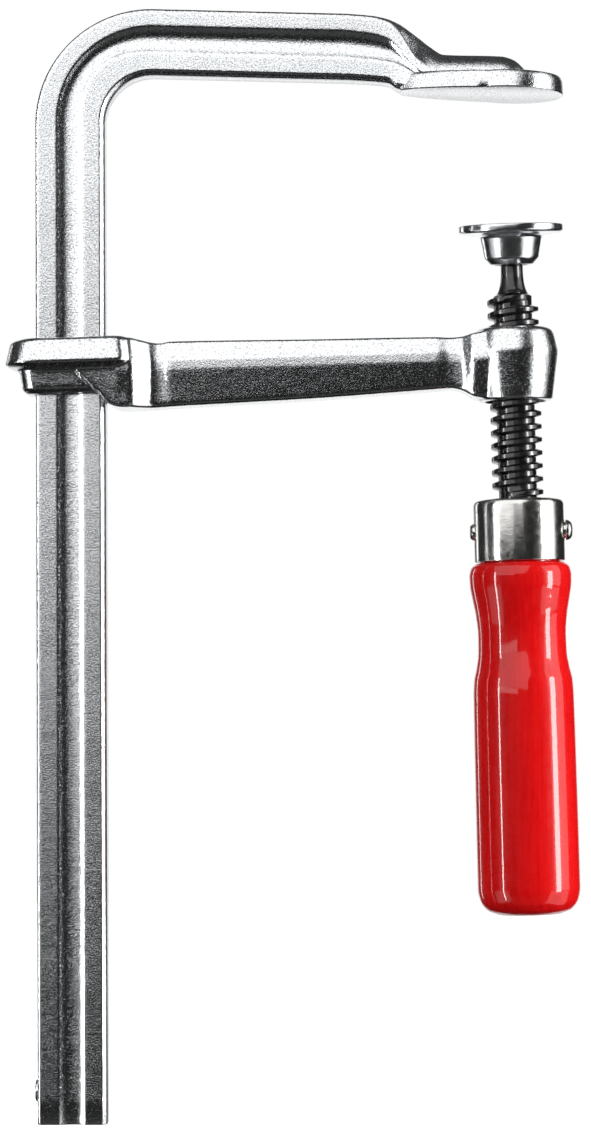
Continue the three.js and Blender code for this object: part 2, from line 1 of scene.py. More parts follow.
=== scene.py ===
"""The looks of an all-steel F clamp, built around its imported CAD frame.

Every CAD node is replaced by a finer mesh of the same size in the same place. Shapes are worked out
in millimetres and placed in metres. The sliding arm and all that it carries are drawn in the arm's
own frame: the origin is on the spindle's axis at the top of the boss, u runs along the arm, w up the
spindle. That frame comes from the record's spindle_turn joint.
"""

import json
import math

import bmesh
import bpy
import numpy as np
from mathutils import Matrix, Vector


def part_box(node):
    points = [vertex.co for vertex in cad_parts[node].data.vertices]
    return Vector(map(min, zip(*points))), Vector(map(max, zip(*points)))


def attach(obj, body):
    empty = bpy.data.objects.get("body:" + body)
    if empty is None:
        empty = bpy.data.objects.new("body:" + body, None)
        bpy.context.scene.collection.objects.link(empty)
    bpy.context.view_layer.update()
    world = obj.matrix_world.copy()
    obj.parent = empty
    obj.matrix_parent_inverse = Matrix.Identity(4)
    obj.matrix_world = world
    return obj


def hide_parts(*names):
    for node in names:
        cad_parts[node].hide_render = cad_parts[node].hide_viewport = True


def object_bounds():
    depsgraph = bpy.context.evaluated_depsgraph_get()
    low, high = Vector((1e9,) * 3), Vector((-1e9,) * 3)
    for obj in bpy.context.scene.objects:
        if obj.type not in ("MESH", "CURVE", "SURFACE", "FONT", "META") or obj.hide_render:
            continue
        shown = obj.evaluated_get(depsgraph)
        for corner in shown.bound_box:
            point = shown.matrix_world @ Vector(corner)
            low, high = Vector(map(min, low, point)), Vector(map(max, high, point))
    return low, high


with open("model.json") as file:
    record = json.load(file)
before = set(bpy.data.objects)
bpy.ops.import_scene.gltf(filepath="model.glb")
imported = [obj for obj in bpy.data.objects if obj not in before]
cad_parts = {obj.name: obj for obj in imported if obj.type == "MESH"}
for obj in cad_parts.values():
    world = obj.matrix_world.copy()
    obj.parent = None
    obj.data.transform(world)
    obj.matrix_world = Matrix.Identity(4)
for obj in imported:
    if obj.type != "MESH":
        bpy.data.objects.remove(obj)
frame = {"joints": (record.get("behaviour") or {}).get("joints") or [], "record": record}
cad_low, cad_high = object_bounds()

MM = 0.001
JOINTS = {joint["name"]: joint for joint in frame["joints"]}
MOUNTS = {mount["name"]: mount for mount in frame["record"]["mounts"]}


# ------------------------------------------------------------------ dimensions, in millimetres

def box_mm(node):
    low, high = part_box(node)
    return Vector(low) / MM, Vector(high) / MM


RAIL_LOW = box_mm("rail")[0]
RAIL_OUTER = RAIL_LOW.x
RAIL_BOTTOM = RAIL_LOW.z
RAIL_WIDTH = 21.3
RAIL_THICKNESS = 10.5
RAIL_CORNER = 1.5
INNER_BEVEL = 0.65  # how near the bar's inner corners are to bevels; 0 is a round, 1 a bevel
RAIL_X = RAIL_OUTER + RAIL_WIDTH / 2
GROOVE_WIDTH = 8.2
GROOVE_DEPTH = 1.2
BEND_GROOVE_WIDTH = 6.4
ARM_GROOVE_SHIFT = 0.7
BEND_RADIUS = 25
BEND_Z = -7.9
FIXED_ARM_HEIGHT = 20.4
TOE_IN = math.radians(1.9)

JAW_RADIUS = 16
JAW_THICKNESS = 5.5
JAW_NECK_X = -34
JAW_NECK_HALF = 5.2
JAW_SHOULDER = (-24, 12.4)

ARM_PARTING = -7
LAND_HEIGHT = 3
BOSS_HEIGHT = 22.3
BOSS_RADIUS = 13.4
COLLAR_TOP = 0.5
COLLAR_OUTER_U = -155.8
COLLAR_INNER_U = -117
COLLAR_BLOCK_BOTTOM = -16.4
COLLAR_OUTER_CORNER = 9.8
COLLAR_INNER_CORNER = 4
BLOCK_CORNER = 5.4
CHEEK_WIDTH = 21.8
COLLAR_DRAFT = math.tan(math.radians(5))
WINDOW_CLEARANCE = 0.55
WINDOW_MIDDLE = -8.5
WINDOW_REACH = (-40, 20)  # from below the collar to above it
CORNER_STEPS = 16

PITCH = 4
CREST_RADIUS = 7.85
CORE_RADIUS = 5.85
CREST_WIDTH = 1.35
FLANK_SLOPE = math.tan(math.radians(15))
THREAD_PHASE = 1.9
THREAD_TOP = 9.9
THREAD_BOTTOM = -51.9
THREAD_CLEARANCE = 0.3

BALL_Z = 25.8
BALL_RADIUS = 4.7
NECK_RADIUS = 3.2
FLARE_BEND = (3.2, 11)  # radius and height
NECK_END = (3.4, 19.4)
PLATE_TOP = 6  # above the ball's centre
PLATE_RADIUS = 16
RING_Z = BALL_Z - 2.5
RING_RADIUS = 5.1
RING_WIRE = 0.7

FERRULE_TOP = -52.4
FERRULE_BOTTOM = -71.3
FERRULE_RADIUS = 13.85
FERRULE_WALL = 1.5
FERRULE_CORNER = 2
PIN_Z = -62
PIN_RADIUS = 2.55
HANDLE_SHOULDER = -71.8
HANDLE_BOTTOM = -178.6
TANG_RADIUS = 5
TANG_BOTTOM = -119

STUD_Z = -303.4
STUD_RADIUS = 3.4
STUD_PROUD = 0.9
STUD_DEPTH = 7

GAP = 0.3
ROUND = 128  # segments round a turned piece


# ------------------------------------------------------------------ frames

def arm_frame():
    turn = JOINTS["spindle_turn"]
    up = Vector(turn["axis"])
    along = Vector((up.z, 0, -up.x))
    return basis(along, Vector((0, 1, 0)), up, Vector(turn["pos_m"]))


def basis(x, y, z, origin):
    """The matrix that takes millimetres in a frame to metres in the clamp's frame."""
    matrix = Matrix((x, y, z)).transposed().to_4x4()
    return Matrix.Translation(origin) @ matrix @ Matrix.Scale(MM, 4)


def plate_frame():
    tilt = JOINTS["plate_tilt"]
    face = Vector(MOUNTS["pressure_plate_face"]["axis"])
    along = Vector(tilt["axis"])
    return basis(along, face.cross(along), face, Vector(tilt["pos_m"]))


CLAMP = Matrix.Scale(MM, 4)
ARM = arm_frame()
PLATE = plate_frame()


# ------------------------------------------------------------------ curves

def lerp(a, b, t):
    return a + (b - a) * t


def smooth_step(t):
    t = min(max(t, 0.0), 1.0)
    return t * t * (3 - 2 * t)


def quarter_round(a, corner, b, steps):
    """Points of a round from a to b that bulges towards the corner."""
    a, corner, b = Vector(a), Vector(corner), Vector(b)
    points = []
    for i in range(steps + 1):
        t = i / steps
        points.append(tuple(a * (1 - t) ** 2 + corner * 2 * t * (1 - t) + b * t ** 2))
    return points


def soften(points, radius, steps=5):
    """The outline with every inner corner rounded; its ends stay."""
    points = [Vector(p) for p in points]
    out = [tuple(points[0])]
    for before, corner, after in zip(points, points[1:], points[2:]):
        back, ahead = before - corner, after - corner
        reach = min(radius, back.length * 0.45, ahead.length * 0.45)
        start = corner + back.normalized() * reach
        end = corner + ahead.normalized() * reach
        out += quarter_round(start, corner, end, steps)
    out.append(tuple(points[-1]))
    return out


def smooth_rows(rows, step):
    """Rows of numbers, resampled every step of the first number by a cubic that never overshoots."""
    rows = np.array(rows, float)
    x, y = rows[:, 0], rows[:, 1:]
    slope = np.diff(y, axis=0) / np.diff(x)[:, None]
    tangent = np.zeros_like(y)
    tangent[0], tangent[-1] = slope[0], slope[-1]
    same_way = slope[:-1] * slope[1:] > 0
    mean = 2 * slope[:-1] * slope[1:] / np.where(same_way, slope[:-1] + slope[1:], 1)
    tangent[1:-1] = np.where(same_way, mean, 0)
    out = []
    for i in range(len(x) - 1):
        width = x[i + 1] - x[i]
        count = max(1, round(abs(width) / step))
        for j in range(count):
            t = j / count
            h00, h10 = 2 * t**3 - 3 * t**2 + 1, t**3 - 2 * t**2 + t
            h01, h11 = 3 * t**2 - 2 * t**3, t**3 - t**2
            value = h00 * y[i] + h10 * width * tangent[i] + h01 * y[i + 1] + h11 * width * tangent[i + 1]
            out.append([x[i] + width * t, *value])
    out.append([x[-1], *y[-1]])
    return out


# ------------------------------------------------------------------ meshes

def mesh_object(name, vertices, faces, matrix=CLAMP):
    mesh = bpy.data.meshes.new(name)
    mesh.from_pydata([tuple(v) for v in vertices], [], faces)
    clean = bmesh.new()
    clean.from_mesh(mesh)
    bmesh.ops.remove_doubles(clean, verts=clean.verts, dist=1e-4)
    bmesh.ops.recalc_face_normals(clean, faces=clean.faces)
    clean.to_mesh(mesh)
    clean.free()
    mesh.transform(matrix)
    made = bpy.data.objects.new(name, mesh)
    bpy.context.scene.collection.objects.link(made)
    return made


def loft_faces(ring_count, points_per_ring):
    faces = []
    for r in range(ring_count - 1):
        for i in range(points_per_ring):
            a = r * points_per_ring + i
            b = r * points_per_ring + (i + 1) % points_per_ring
            faces.append((a, b, b + points_per_ring, a + points_per_ring))
    return faces


def loft(name, rings, matrix=CLAMP):
    """A closed skin over rings with the same number of points, with flat caps."""
    count = len(rings[0])
    vertices = [point for ring in rings for point in ring]
    faces = loft_faces(len(rings), count)
    faces.append(tuple(reversed(range(count))))
    faces.append(tuple(range((len(rings) - 1) * count, len(rings) * count)))
    return mesh_object(name, vertices, faces, matrix)


def lathe_grid(profile, segments):
    """Vertices and faces of a profile [(r, z), ...] turned round the axis."""
    vertices = []
    for i in range(segments):
        angle = 2 * math.pi * i / segments
        vertices += [(r * math.cos(angle), r * math.sin(angle), z) for r, z in profile]
    faces = []
    count = len(profile)
    for i in range(segments):
        here, there = i * count, (i + 1) % segments * count
        faces += [(here + k, there + k, there + k + 1, here + k + 1) for k in range(count - 1)]
    return vertices, faces


def lathe(name, profile, matrix, segments=ROUND):
    return mesh_object(name, *lathe_grid(profile, segments), matrix)


def rod(name, radius, start, end, matrix, segments=64):
    return lathe(name, [(0, start), (radius, start), (radius, end), (0, end)], matrix, segments)


def apply_modifiers(thing):
    graph = bpy.context.evaluated_depsgraph_get()
    made = bpy.data.meshes.new_from_object(thing.evaluated_get(graph))
    old = thing.data
    thing.modifiers.clear()
    thing.data = made
    bpy.data.meshes.remove(old)


def combine(thing, tools, operation):
    for tool in tools:
        boolean = thing.modifiers.new("boolean", "BOOLEAN")
        boolean.operation = operation
        boolean.solver = "EXACT"
        boolean.object = tool
    apply_modifiers(thing)
    for tool in tools:
        bpy.data.objects.remove(tool)
    return thing


def cut(thing, *tools):
    return combine(thing, tools, "DIFFERENCE")


def join(thing, *others):
    return combine(thing, others, "UNION")


def forge(thing, grain, passes):
    """Melts a joined solid into one skin with the rounded creases of a forging."""
    remesh = thing.modifiers.new("remesh", "REMESH")
    remesh.mode = "VOXEL"
    remesh.voxel_size = grain * MM
    relax = thing.modifiers.new("relax", "SMOOTH")
    relax.factor = 0.5
    relax.iterations = passes
    apply_modifiers(thing)
    return thing


def shade(thing, sharp_above=32):
    thing.data.shade_smooth()
    thing.data.set_sharp_from_angle(angle=math.radians(sharp_above))
    return thing


# ------------------------------------------------------------------ rail and fixed jaw

def soft_groove(t):
    """How deep the groove is at t across it, from 0 at its edges to 1, with eased edges."""
    ease = 0.12
    rise = 4 * t * (1 - t)
    return (rise + math.sqrt(rise * rise + ease * ease)) / 2


def bar_half_section(section):
    """Half of a bar's section, from the middle of its bottom to the middle of its top, as (y, height)."""
    bottom, eave, top, half_bottom, half_eave, half_ridge, groove_low, groove_high, depth, roof = section
    corner = RAIL_CORNER
    cut_back = corner * INNER_BEVEL / 2
    points = quarter_round(
        (half_bottom - corner, bottom),
        (half_bottom - cut_back, bottom + cut_back),
        (half_bottom, bottom + corner),
        8,
    )
    steps = 44
    for i in range(1, steps):
        height = lerp(bottom + corner, eave, i / steps)
        side = lerp(half_bottom, half_eave, (height - bottom) / (eave - bottom))
        t = (height - groove_low) / (groove_high - groove_low)
        points.append((side - depth * soft_groove(t), height))
    square = Vector((half_eave, top))
    straight = Vector(((half_eave + half_ridge) / 2, (eave + top) / 2))
    return points + quarter_round((half_eave, eave), square.lerp(straight, roof), (half_ridge, top), 8)


def bar_ring(centre, outward, section):
    half = bar_half_section(section)
    whole = half + [(-y, h) for y, h in reversed(half)]
    return [(centre[0] + outward[0] * h, y, centre[1] + outward[1] * h) for y, h in whole]


def plain_section(height, groove_width, groove_shift, inset=0.0):
    half = height / 2 - inset
    side = RAIL_THICKNESS / 2 - inset
    low, high = groove_shift - groove_width / 2, groove_shift + groove_width / 2
    return (-half, half - RAIL_CORNER, half, side, side, side - RAIL_CORNER, low, high, GROOVE_DEPTH, 0)


def straight_rings():
    outward = (-1, 0)
    chamfer = 0.5
    rings = []
    for up, inset in ((0, chamfer), (chamfer * 0.3, chamfer * 0.3), (chamfer, 0)):
        section = plain_section(RAIL_WIDTH, GROOVE_WIDTH, 0, inset)
        rings.append(bar_ring((RAIL_X, RAIL_BOTTOM + up), outward, section))
    section = plain_section(RAIL_WIDTH, GROOVE_WIDTH, 0)
    steps = 40
    for i in range(1, steps):
        z = lerp(RAIL_BOTTOM + chamfer, BEND_Z, i / steps)
        rings.append(bar_ring((RAIL_X, z), outward, section))
    return rings


def bend_rings():
    steps = 60
    rings = []
    for i in range(steps + 1):
        t = i / steps
        angle = math.pi - t * (math.pi / 2 + TOE_IN)
        outward = (math.cos(angle), math.sin(angle))
        centre = (RAIL_X + BEND_RADIUS * (1 + outward[0]), BEND_Z + BEND_RADIUS * outward[1])
        narrow = math.sin(math.pi * t) ** 2
        width = lerp(GROOVE_WIDTH, BEND_GROOVE_WIDTH, narrow)
        height = lerp(RAIL_WIDTH, FIXED_ARM_HEIGHT, t)
        section = plain_section(height, width, ARM_GROOVE_SHIFT * t + narrow)
        rings.append(bar_ring(centre, outward, section))
    return rings


# Stations from the arm to the jaw's rib: x, then the heights of the bottom, eaves and ridge, the half
# widths at those three, the groove's edges and depth, and how far the top is a pitched roof.
HEAD_STATIONS = [
    (-50, 4.7, 23.6, 25.1, 5.25, 5.25, 3.75, 11.3, 19.6, 1.2, 0),
    (-42, 4.1, 22.6, 24.3, 5.25, 5.25, 3.7, 10.4, 18.4, 1.2, 0),
    (-37.5, 3.5, 21.2, 23.3, 5.3, 5.3, 3.4, 9.7, 16.9, 1.1, 0.1),
    (-34, 1.5, 18.2, 21.8, 5.7, 5.5, 3, 8.6, 13.8, 0.9, 0.4),
    (-31, 1.3, 13.6, 19.6, 6.6, 6, 2.8, 7, 10, 0.6, 0.8),
    (-28, 1.3, 9.6, 17.3, 7.4, 6.6, 2.7, 5, 7, 0.2, 1),
    (-24.5, 1.3, 7.4, 14.5, 7.6, 6.8, 2.7, 4, 5.5, 0, 0.8),
    (-20.5, 1.2, 7, 12.2, 7.6, 6.6, 2.9, 4, 5, 0, 0.6),
    (-3, 1.1, 6.4, 11.5, 7.2, 6, 2.8, 3.4, 4.4, 0, 0.6),
    (1, 1, 6, 10.3, 6.6, 5.4, 2.6, 3.2, 4.2, 0, 0.6),
    (5.5, 1, 4.7, 6.2, 4.6, 3.4, 1.8, 2.8, 3.6, 0, 0.6),
]


def head_rings():
    up = (0, 1)
    return [bar_ring((x, 0), up, section) for x, *section in smooth_rows(HEAD_STATIONS, 0.6)]


def jaw_outline():
    """The pad's plan: a neck that widens into a disc."""
    tangent = math.radians(118)
    meet = (JAW_RADIUS * math.cos(tangent), JAW_RADIUS * math.sin(tangent))
    side = quarter_round(meet, JAW_SHOULDER, (JAW_NECK_X, JAW_NECK_HALF), 16)
    steps = 72
    arc = []
    for i in range(steps):
        angle = lerp(-tangent, tangent, i / steps)
        arc.append((JAW_RADIUS * math.cos(angle), JAW_RADIUS * math.sin(angle)))
    return [(x, -y) for x, y in reversed(side[1:])] + arc + side


def jaw_pad():
    layers = [(0.0, 0.975), (0.12, 0.99), (0.4, 1.0), (JAW_THICKNESS * 0.7, 0.985)]
    layers += [(JAW_THICKNESS * 0.9, 0.965), (JAW_THICKNESS * 0.98, 0.945), (JAW_THICKNESS, 0.92)]
    rings = [[(x * size, y * size, z) for x, y in jaw_outline()] for z, size in layers]
    turn = Matrix.Rotation(TOE_IN, 4, "Y")
    return loft("jaw_pad", rings, CLAMP @ turn)


def stud_matrix():
    centre = Vector((RAIL_X - RAIL_WIDTH / 2 + STUD_DEPTH, 0, STUD_Z)) * MM
    return Matrix.Translation(centre) @ Matrix.Rotation(-math.pi / 2, 4, "Y") @ CLAMP


def rail():
    bar = loft("rail_body", straight_rings() + bend_rings() + head_rings())
    body = join(bar, jaw_pad())
    hole = rod("stud_hole", STUD_RADIUS + GAP, -GAP, STUD_DEPTH + 5, stud_matrix(), 48)
    return shade(cut(body, hole))


def end_stop_stud():
    length = STUD_DEPTH + STUD_PROUD
    profile = soften([(0, 0), (STUD_RADIUS, 0), (STUD_RADIUS, length), (0, length)], 0.6)
    return shade(lathe("end_stop", profile, stud_matrix(), 64))


# ------------------------------------------------------------------ thread

def thread_section(clearance):
    """One pitch of the thread as (height from the crest's middle, share of the ridge's height)."""
    half_crest = CREST_WIDTH / 2 + clearance * (1 - FLANK_SLOPE)
    half_root = half_crest + (CREST_RADIUS - CORE_RADIUS) * FLANK_SLOPE
    ease = 0.12
    side = [(half_root + ease, 0), (half_root - ease * 0.2, 0.08), (half_crest + ease * 0.4, 0.92)]
    side.append((half_crest - ease, 1))
    return [(-w, h) for w, h in side] + list(reversed(side))


def thread_grid(bottom, top, clearance, run_out, segments):
    """A threaded surface between two heights. Beyond them the ridge is pressed flat onto the core's
    end circles, so turned stretches with as many segments join it there."""
    section = thread_section(clearance)
    core, crest = CORE_RADIUS, CREST_RADIUS + clearance
    first = math.floor((bottom - THREAD_PHASE) / PITCH) - 1
    last = math.ceil((top - THREAD_PHASE) / PITCH) + 1
    vertices, faces = [], []
    rows = (last - first) * segments
    for i in range(rows + 1):
        angle = 2 * math.pi * i / segments
        middle = THREAD_PHASE + PITCH * (first + i / segments)
        from_end = min(middle - bottom, top - middle) / PITCH
        for offset, share in section:
            fade = smooth_step(from_end / run_out) if run_out else 1.0
            z = min(max(middle + offset, bottom), top)
            inside = bottom < middle + offset < top
            radius = lerp(core, crest, share * fade if inside else 0)
            vertices.append((radius * math.cos(angle), radius * math.sin(angle), z))
    count = len(section)
    for i in range(rows):
        a = i * count
        faces += [(a + k, a + count + k, a + count + k + 1, a + k + 1) for k in range(count - 1)]
        if i + segments < rows:
            above = (i + segments) * count
            faces.append((a + count - 1, a + 2 * count - 1, above + count, above))
    return vertices, faces


def together(*grids):
    vertices, faces = [], []
    for grid_vertices, grid_faces in grids:
        shift = len(vertices)
        vertices += grid_vertices
        faces += [tuple(index + shift for index in face) for face in grid_faces]
    return vertices, faces


THREAD_ROUND = 72


def spindle():
    shank = [(0, TANG_BOTTOM), (TANG_RADIUS, TANG_BOTTOM), (TANG_RADIUS, FERRULE_BOTTOM - 1)]
    shank = soften(shank + [(CORE_RADIUS, FERRULE_BOTTOM), (CORE_RADIUS, THREAD_BOTTOM)], 0.6)
    flare = quarter_round((CORE_RADIUS, THREAD_TOP), FLARE_BEND, NECK_END, 16)
    neck_angle = math.asin(NECK_RADIUS / BALL_RADIUS) - math.pi / 2
    steps = 24
    for i in range(steps + 1):
        angle = lerp(neck_angle, math.pi / 2, i / steps)
        flare.append((BALL_RADIUS * math.cos(angle), BALL_Z + BALL_RADIUS * math.sin(angle)))
    grid = together(
        lathe_grid(shank, THREAD_ROUND),
        thread_grid(THREAD_BOTTOM, THREAD_TOP, 0, 0.5, THREAD_ROUND),
        lathe_grid(flare, THREAD_ROUND),
    )
    body = mesh_object("threaded_spindle", *grid, ARM)
    return shade(cut(body, pin_passage()))


# ------------------------------------------------------------------ sliding arm

def collar_ring(w, outer, inner, half, outer_corner=COLLAR_OUTER_CORNER):
    """A rounded rectangle at one height of the collar."""
    inner_corner = COLLAR_INNER_CORNER
    corners = [(inner - inner_corner, inner_corner, 1, 0), (outer + outer_corner, outer_corner, 1, 1)]
    corners += [(outer + outer_corner, outer_corner, -1, 2), (inner - inner_corner, inner_corner, -1, 3)]
    points = []
    for u, corner, side, start in corners:
        for i in range(CORNER_STEPS + 1):
            angle = (start + i / CORNER_STEPS) * math.pi / 2
            y = side * (half - corner) + corner * math.sin(angle)
            points.append((u + corner * math.cos(angle), y, w))
    return points


def collar_flange():
    return loft("arm_forging", [
        collar_ring(-9.2, COLLAR_OUTER_U + 4.1, COLLAR_INNER_U - 2, 10.4),
        collar_ring(-8, COLLAR_OUTER_U + 1.2, COLLAR_INNER_U - 0.6, 11.8),
        collar_ring(ARM_PARTING, COLLAR_OUTER_U, COLLAR_INNER_U, 12.8),
        collar_ring(-0.6, COLLAR_OUTER_U + 1.5, COLLAR_INNER_U - 0.6, 11.8),
        collar_ring(COLLAR_TOP, COLLAR_OUTER_U + 2.9, COLLAR_INNER_U - 1.5, 10.9),
    ], ARM)


def collar_block():
    inner = COLLAR_INNER_U - 1.1
    top, bottom = ARM_PARTING + 2, COLLAR_BLOCK_BOTTOM
    return loft("block", [
        collar_ring(bottom, COLLAR_OUTER_U + 6.8, inner - 1, 7.6, BLOCK_CORNER),
        collar_ring(bottom + 1.5, COLLAR_OUTER_U + 5.2, inner, 9.1, BLOCK_CORNER),
        collar_ring(top, COLLAR_OUTER_U + 3.9, inner, 10, BLOCK_CORNER),
    ], ARM)


def collar_cheeks():
    """The cheeks that carry the arm: proud of the block, and deeper than it towards the arm."""
    inner, top = COLLAR_INNER_U - 0.8, ARM_PARTING + 1.5
    outline = [(-135.4, top), (-134.4, ARM_PARTING - 2)]
    outline += quarter_round((-127, -16.8), (-124, -21), (-120.4, -21.3), 8)
    outline += [(inner, -21.4), (inner, top)]
    half = CHEEK_WIDTH / 2
    rings = [[(u, side * (half - (top - w) * COLLAR_DRAFT), w) for u, w in outline] for side in (-1, 1)]
    return loft("cheeks", rings, ARM)


# Stations along the arm: u, top, bottom, and the half widths at the top, the parting and the bottom.
ARM_STATIONS = [
    (-121, 0, -20.6, 10, 10.9, 9.5),
    (-117.6, 0, -21.3, 9.8, 10.8, 9.5),
    (-114, -0.6, -21.5, 7.4, 8.8, 7.5),
    (-110.5, -1.4, -21.5, 5.4, 6.2, 5.5),
    (-108, -1.6, -21.4, 5, 5.8, 5.2),
    (-105, -1.2, -21.3, 5.7, 6.8, 5.8),
    (-60, -1.8, -20, 5.7, 6.8, 5.8),
    (-24, -2.2, -18.3, 5.7, 6.8, 5.8),
    (-19.5, -2.5, -18.1, 5.3, 6.2, 5.5),
    (-16.5, -2.4, -18.8, 5.6, 6.5, 5.8),
    (-12.5, -1.6, -21, 8.2, 9.4, 7.6),
    (-8, -1, -21.9, 9, 10.6, 8),
]


def beam():
    corner = 1.2
    rings = []
    for u, top, bottom, half_top, half_parting, half_bottom in smooth_rows(ARM_STATIONS, 0.8):
        low = (half_bottom - corner, bottom), (half_bottom, bottom), (half_bottom, bottom + corner)
        high = (half_top, top - corner), (half_top, top), (half_top - corner, top)
        land = [(half_parting, ARM_PARTING - LAND_HEIGHT), (half_parting, ARM_PARTING)]
        side = quarter_round(*low, 4) + land + quarter_round(*high, 4)
        whole = side + [(-y, w) for y, w in reversed(side)]
        rings.append([(u, y, w) for y, w in whole])
    return loft("beam", rings, ARM)


def boss():
    wide = BOSS_RADIUS
    profile = [(0, -BOSS_HEIGHT), (11, -BOSS_HEIGHT), (11.4, -BOSS_HEIGHT + 0.6), (wide, ARM_PARTING - 0.6)]
    profile += [(wide, ARM_PARTING), (12.4, -2.2), (11.9, -0.9), (10.9, 0), (0, 0)]
    return lathe("boss", profile, ARM)


def rail_window():
    """A straight passage for the rail, centred on it at the window's middle height."""
    middle = ARM.inverted() @ (Vector((RAIL_X, 0, 0)) * MM)
    lean = math.atan2(-ARM[0][2], ARM[2][2])
    u = middle.x + (WINDOW_MIDDLE - middle.z) * math.tan(lean)
    width = RAIL_WIDTH / 2 + WINDOW_CLEARANCE
    thickness = RAIL_THICKNESS / 2 + WINDOW_CLEARANCE
    sides = ((-1, -1), (1, -1), (1, 1), (-1, 1))
    section = [(u + side * width, front * thickness) for side, front in sides]
    return loft("window", [[(x, y, w) for x, y in section] for w in WINDOW_REACH], ARM)


def threaded_bore():
    beyond = 3
    bottom, top = -BOSS_HEIGHT - beyond, beyond
    grid = together(
        lathe_grid([(0, bottom), (CORE_RADIUS, bottom)], THREAD_ROUND),
        thread_grid(bottom, top, THREAD_CLEARANCE, 0, THREAD_ROUND),
        lathe_grid([(CORE_RADIUS, top), (0, top)], THREAD_ROUND),
    )
    return mesh_object("nut_thread", *grid, ARM)


def countersink(mouth, way):
    """The eased mouth of the threaded bore; way is 1 at the top and -1 underneath."""
    relief = CREST_RADIUS + THREAD_CLEARANCE + 0.4
    profile = [(0, -1.2), (relief, -1.2), (relief + 1.2, 0.2), (0, 0.2)]
    return lathe("countersink", [(r, mouth + way * w) for r, w in profile], ARM)


def sliding_arm():
    body = join(collar_flange(), collar_block(), collar_cheeks(), beam(), boss())
    forge(body, grain=0.4, passes=12)
    cut(body, rail_window(), countersink(0, 1), countersink(-BOSS_HEIGHT, -1))
    return shade(cut(body, threaded_bore()))


# ------------------------------------------------------------------ pressure plate and its ring

def pressure_plate():
    """Heights are from the ball's centre."""
    top = PLATE_TOP
    rim = top - 2.6
    seat = BALL_RADIUS + GAP
    inside = [(seat * math.sin(i * math.pi / 32), seat * math.cos(i * math.pi / 32)) for i in range(17)]
    inside += [(6.6, 0), (6.6, -4.75), (5.4, -4.75), (5.4, -6.2)]
    outside = [(5.4, -6.2), (6.5, -6.2), (8.3, -4.1), (9.4, rim - 1.3), (10.2, rim - 0.6)]
    outside += [(PLATE_RADIUS - 0.6, rim), (PLATE_RADIUS, rim + 0.6), (PLATE_RADIUS, top), (0, top)]
    return shade(lathe("swivel_plate", inside + soften(outside, 0.5)[1:], PLATE))


def retaining_ring():
    opening = math.radians(24)
    start, end = math.pi / 2 + opening, 5 * math.pi / 2 - opening
    rings = []
    for i in range(97):
        angle = lerp(start, end, i / 96)
        ring = []
        for k in range(20):
            turn = 2 * math.pi * k / 20
            radius = RING_RADIUS + RING_WIRE * math.cos(turn)
            z = RING_Z + RING_WIRE * math.sin(turn)
            ring.append((radius * math.cos(angle), radius * math.sin(angle), z))
        rings.append(ring)
    return shade(loft("snap_ring", rings, ARM))


# ------------------------------------------------------------------ handle end

def across(matrix):
    """The arm's frame turned so that its turned pieces run along u at the cross pin's height."""
    return matrix @ Matrix.Translation((0, 0, PIN_Z)) @ Matrix.Rotation(math.pi / 2, 4, "Y")


def pin_passage():
    return rod("pin_passage", PIN_RADIUS + GAP, -20, 20, across(ARM), 48)


def ferrule():
    inner = FERRULE_RADIUS - FERRULE_WALL
    hole = CORE_RADIUS + 0.4
    corner_start = (FERRULE_RADIUS, FERRULE_TOP - FERRULE_CORNER)
    corner = (FERRULE_RADIUS, FERRULE_TOP)
    corner_end = (FERRULE_RADIUS - FERRULE_CORNER, FERRULE_TOP)
    outside = soften([(inner, FERRULE_BOTTOM), (FERRULE_RADIUS, FERRULE_BOTTOM), corner_start], 0.25)
    outside += quarter_round(corner_start, corner, corner_end, 10)[1:]
    inside = [(hole, FERRULE_TOP), (hole, FERRULE_TOP - FERRULE_WALL), (inner, FERRULE_TOP - FERRULE_WALL)]
    profile = outside + inside + [(inner, FERRULE_BOTTOM)]
    return shade(cut(lathe("steel_ferrule", profile, ARM), pin_passage()))


# Heights and radii down the visible handle, from its butt over the waist to its shoulder.
HANDLE_OUTLINE = [
    (HANDLE_BOTTOM, 9.5), (-177.2, 12.9), (-174.3, 14.9), (-170.5, 15.6), (-135, 15.5), (-112, 15.3),
    (-107.5, 15.05), (-103.5, 14.2), (-99, 13.55), (-93.5, 13.45), (-88, 13.9), (-82.2, 14.9),
    (-78.5, 15.5), (-75.6, 15.6), (-73, 15), (HANDLE_SHOULDER, 13.7),
]


def handle():
    tenon = FERRULE_RADIUS - FERRULE_WALL - GAP
    tenon_top = FERRULE_TOP - FERRULE_WALL - GAP
    bore, tang_bore = CORE_RADIUS + GAP, TANG_RADIUS + GAP
    turned = [(r, z) for z, r in smooth_rows(HANDLE_OUTLINE, 0.5)]
    profile = [(0, HANDLE_BOTTOM)] + turned
    profile += [(tenon, HANDLE_SHOULDER), (tenon, tenon_top), (bore, tenon_top)]
    profile += [(bore, FERRULE_BOTTOM - 1.4), (tang_bore, FERRULE_BOTTOM - 2)]
    profile += [(tang_bore, TANG_BOTTOM - GAP), (0, TANG_BOTTOM - GAP)]
    return shade(cut(lathe("wooden_handle", profile, ARM), pin_passage()), 50)


def cross_pin():
    seat = FERRULE_RADIUS + GAP
    peened = soften([(0, -seat - 1), (1.9, -seat - 0.8), (2.6, -seat), (PIN_RADIUS, -seat)], 0.4)
    head = [(PIN_RADIUS, seat), (3.25, seat), (3.1, seat + 1), (2.2, seat + 1.9), (0, seat + 2.3)]
    return shade(lathe("riveted_pin", peened + soften(head, 0.7), across(ARM), 64))


# ------------------------------------------------------------------ material nodes

